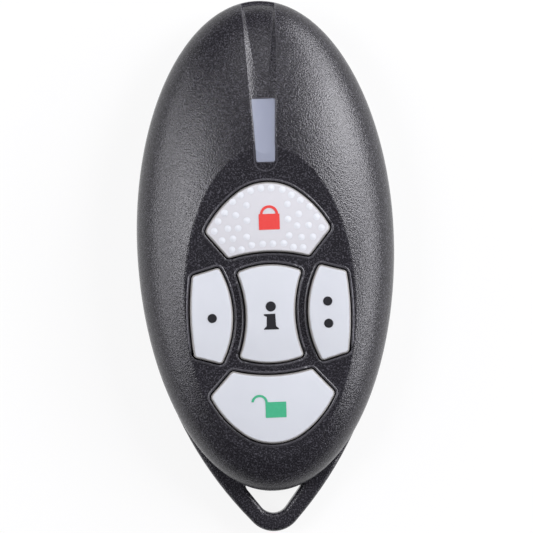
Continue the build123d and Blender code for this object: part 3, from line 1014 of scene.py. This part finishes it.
@dataclass(frozen=True)
class Softbox:
    """A soft rectangular lamp that looks at the fob; its power is in watts."""

    name: str
    azimuth: float
    elevation: float
    width: float
    height: float
    power: float
    distance: float = 0.55
    colour: str = "fbfaff"

    def build(self, target: Vector) -> None:
        """Places the lamp.

        Args:
            target: the point that the lamp looks at.
        """
        turn, rise = math.radians(self.azimuth), math.radians(self.elevation)
        direction = Vector((math.cos(turn) * math.cos(rise), math.sin(turn) * math.cos(rise), math.sin(rise)))
        data = bpy.data.lights.new(self.name, "AREA")
        data.shape = "RECTANGLE"
        data.size, data.size_y = self.width, self.height
        data.energy = self.power
        data.color = linear(self.colour)[:3]
        lamp = bpy.data.objects.new(self.name, data)
        lamp.location = target + direction * self.distance
        lamp.rotation_euler = direction.to_track_quat("Z", "Y").to_euler()
        bpy.context.scene.collection.objects.link(lamp)


@dataclass
class Studio:
    """The pale floor, the softboxes, the room's grey and the camera."""

    target_mm: tuple[float, float, float] = (0.0, 0.0, 6.0)
    lean: float = 2.0
    tilt: float = 3.0
    distance: float = 0.6
    frame_width_mm: float = 78.7
    sensor_mm: float = 36.0
    clip: tuple[float, float] = (0.01, 10.0)
    floor_half: float = 1.5
    floor_drop_mm: float = 0.02
    floor_colour: str = "fafafa"
    floor_glow: float = 1.03
    floor_glow_share: float = 0.88
    room_colour: str = "303033"
    backdrop_colour: str = "fafafa"
    softboxes: tuple[Softbox, ...] = (
        Softbox("softbox_right", 25, 35, 0.22, 0.36, 2.62),
        Softbox("softbox_right_far", 50, 21, 0.2, 0.14, 0.84),
        Softbox("softbox_right_near", -8, 21, 0.36, 0.14, 1.3),
        Softbox("softbox_left_high", 172, 50, 0.28, 0.22, 1.45),
        Softbox("softbox_left_low", 175, 22, 0.6, 0.16, 1.4),
        Softbox("softbox_far_end", 90, 50, 0.25, 0.15, 0.29),
    )

    def target(self) -> Vector:
        """Returns the point that the camera and the lamps look at."""
        return Vector(self.target_mm) * MM

    def camera(self) -> None:
        """Places the camera above the fob, tilted and rolled as the photograph was taken."""
        tilt, lean = math.radians(self.tilt), math.radians(self.lean)
        back = Vector((-math.sin(tilt), 0, math.cos(tilt)))
        across = Vector((math.cos(tilt), 0, math.sin(tilt)))
        along = Vector((0, 1, 0))
        right = across * math.cos(lean) - along * math.sin(lean)
        up = across * math.sin(lean) + along * math.cos(lean)
        data = bpy.data.cameras.new("camera")
        data.sensor_width = self.sensor_mm
        data.lens = self.sensor_mm * self.distance / (self.frame_width_mm * MM)
        data.clip_start, data.clip_end = self.clip
        camera = bpy.data.objects.new("camera", data)
        turn = Matrix((right, up, back)).transposed().to_4x4()
        camera.matrix_world = Matrix.Translation(self.target() + back * self.distance) @ turn
        bpy.context.scene.collection.objects.link(camera)
        bpy.context.scene.camera = camera

    def floor_material(self) -> bpy.types.Material:
        """Makes the floor's paper, which glows where the camera sees it, also in a glossy or clear piece.

        Returns:
            The material.
        """
        material, tree, output = new_material("floor_paper")
        path = add_node(tree, "ShaderNodeLightPath")
        seen = path.outputs["Is Camera Ray"]
        for ray in ("Is Glossy Ray", "Is Transmission Ray"):
            either = add_node(tree, "ShaderNodeMath", {"operation": "MAXIMUM"},
                              {0: seen, 1: path.outputs[ray]})
            seen = either.outputs["Value"]
        share = add_node(tree, "ShaderNodeMath", {"operation": "MULTIPLY", 1: self.floor_glow_share},
                         {0: seen})
        paper = linear(self.floor_colour)
        diffuse = add_node(tree, "ShaderNodeBsdfDiffuse", {"Color": paper})
        glow = add_node(tree, "ShaderNodeEmission", {"Color": paper, "Strength": self.floor_glow})
        mixed = add_node(tree, "ShaderNodeMixShader", None,
                         {0: share.outputs["Value"], 1: diffuse.outputs["BSDF"], 2: glow.outputs["Emission"]})
        tree.links.new(mixed.outputs["Shader"], output.inputs["Surface"])
        return material

    def floor(self) -> None:
        """Lays the floor just under the fob."""
        mesh = bmesh.new()
        corners = [(-1, -1), (1, -1), (1, 1), (-1, 1)]
        mesh.faces.new([mesh.verts.new((x * self.floor_half, y * self.floor_half, -self.floor_drop_mm * MM))
                        for x, y in corners])
        data = bpy.data.meshes.new("floor")
        mesh.to_mesh(data)
        mesh.free()
        data.materials.append(self.floor_material())
        floor = bpy.data.objects.new("floor", data)
        bpy.context.scene.collection.objects.link(floor)

    def room(self) -> None:
        """Gives the room a grey light, with a pale backdrop where the camera looks past the floor."""
        world = bpy.data.worlds.new("room")
        world.use_nodes = True
        tree = world.node_tree
        tree.nodes.clear()
        path = add_node(tree, "ShaderNodeLightPath")
        colour = mix_colours(tree, path.outputs["Is Camera Ray"], self.room_colour, self.backdrop_colour)
        light = add_node(tree, "ShaderNodeBackground", {"Strength": 1.0}, {"Color": colour})
        output = add_node(tree, "ShaderNodeOutputWorld")
        tree.links.new(light.outputs["Background"], output.inputs["Surface"])
        bpy.context.scene.world = world

    def build(self) -> None:
        """Makes the studio."""
        bpy.context.scene.view_settings.view_transform = "Standard"
        self.camera()
        self.floor()
        self.room()
        for softbox in self.softboxes:
            softbox.build(self.target())
        log.info("studio lit by %d softboxes", len(self.softboxes))


def main() -> None:
    """Builds the studio and dresses the fob's sub-assemblies in order."""
    logging.basicConfig(level=logging.INFO, format="%(name)s: %(message)s")
    for part in (Studio(), Casing(), Keypad(), Electronics()):
        part.build()


if __name__ == "__main__":
    main()
